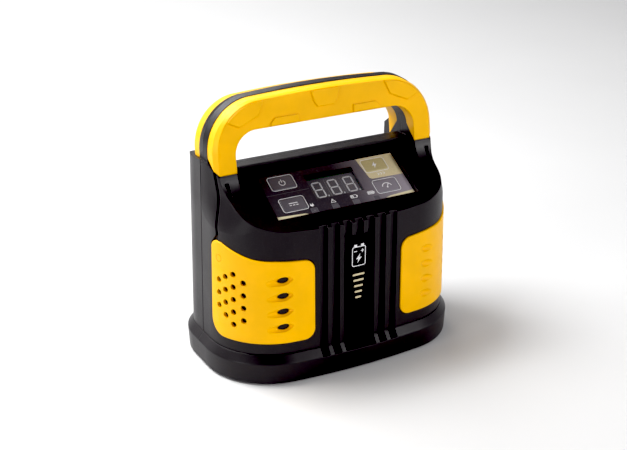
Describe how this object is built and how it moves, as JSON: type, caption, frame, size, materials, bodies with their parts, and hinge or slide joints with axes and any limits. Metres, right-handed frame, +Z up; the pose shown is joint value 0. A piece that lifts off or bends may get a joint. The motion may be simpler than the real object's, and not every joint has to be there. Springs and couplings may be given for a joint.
{
  "type": "car battery charger",
  "caption": "Portable car battery charger with a fixed carrying handle, sloping keypad label with display, louvred side panels and a stepped base.",
  "frame": {"origin": "on the floor under the middle of the base", "axes": "+X to the right seen from the front, the front faces -Y, +Z up"},
  "size_m": [0.1954, 0.1218, 0.1957],
  "materials": {
    "case_black": "fine moulded texture",
    "grip_yellow": "satin moulded",
    "panel_yellow": "satin moulded",
    "label_dark": "printed film",
    "window_clear": "clear film",
    "display_dark": "potted display face",
    "lens_smoke": "smoked",
    "lamp_epoxy": "clear epoxy",
    "key_dark": "printed film",
    "key_gold": "printed film",
    "plunger_black": "moulded",
    "switch_black": "moulded",
    "board_green": "solder mask",
    "screw_steel": "zinc plated",
    "plate_gloss": "mirror gloss",
    "core_steel": "laminated",
    "winding_copper": "enamelled wire",
    "strap_steel": "zinc plated",
    "pad_rubber": "soft",
    "capacitor_sleeve": "shrink sleeve",
    "relay_black": "moulded",
    "choke_ferrite": "coated",
    "fuse_glass": "clear",
    "sink_aluminium": "extruded",
    "fan_black": "moulded",
    "gland_rubber": "soft",
    "foot_rubber": "soft",
    "ribbon_grey": "flat cable"
  },
  "bodies": {
    "case": {"front_shell": "case_black", "rear_shell": "case_black", "front_grip": "grip_yellow", "rear_grip": "grip_yellow", "left_panel": "panel_yellow", "right_panel": "panel_yellow", "label_plate": "label_dark", "keypad_overlay": "label_dark", "display_window": "window_clear", "display_module": "display_dark", "indicator_lenses": "lens_smoke", "indicator_lamps": "lamp_epoxy", "key_switches": "switch_black", "display_board": "board_green", "display_screws": "screw_steel", "front_plate": "plate_gloss", "transformer_core": "core_steel", "transformer_winding": "winding_copper", "transformer_strap": "strap_steel", "transformer_pad": "pad_rubber", "main_board": "board_green", "board_screws": "screw_steel", "filter_capacitors": "capacitor_sleeve", "output_relay": "relay_black", "filter_choke": "choke_ferrite", "fuse_holder": "switch_black", "fuse": "fuse_glass", "bridge_rectifier": "switch_black", "heat_sink": "sink_aluminium", "fan_frame": "fan_black", "fan_screws": "screw_steel", "mains_gland": "gland_rubber", "lead_gland_plus": "gland_rubber", "lead_gland_minus": "gland_rubber", "rubber_feet": "foot_rubber", "case_screws": "screw_steel", "ribbon_cable": "ribbon_grey"},
    "power_key": {"key_power": "key_dark", "plunger_power": "plunger_black"},
    "voltage_key": {"key_voltage": "key_dark", "plunger_voltage": "plunger_black"},
    "boost_key": {"key_boost": "key_gold", "plunger_boost": "plunger_black"},
    "current_key": {"key_current": "key_dark", "plunger_current": "plunger_black"},
    "rotor": {"fan_rotor": "fan_black"}
  },
  "joints": [
    {"name": "power_press", "type": "slide", "parent": "case", "child": "power_key", "axis": [0, 0.4894, -0.8721], "range_m": [0, 0.0004], "stiffness_N_per_m": 2500},
    {"name": "voltage_press", "type": "slide", "parent": "case", "child": "voltage_key", "axis": [0, 0.4894, -0.8721], "range_m": [0, 0.0004], "stiffness_N_per_m": 2500},
    {"name": "boost_press", "type": "slide", "parent": "case", "child": "boost_key", "axis": [0, 0.4894, -0.8721], "range_m": [0, 0.0004], "stiffness_N_per_m": 2500},
    {"name": "current_press", "type": "slide", "parent": "case", "child": "current_key", "axis": [0, 0.4894, -0.8721], "range_m": [0, 0.0004], "stiffness_N_per_m": 2500},
    {"name": "fan_spin", "type": "hinge", "parent": "case", "child": "rotor", "pos_m": [0, 0.042, 0.066], "axis": [0, 1, 0], "continuous": true}
  ]
}
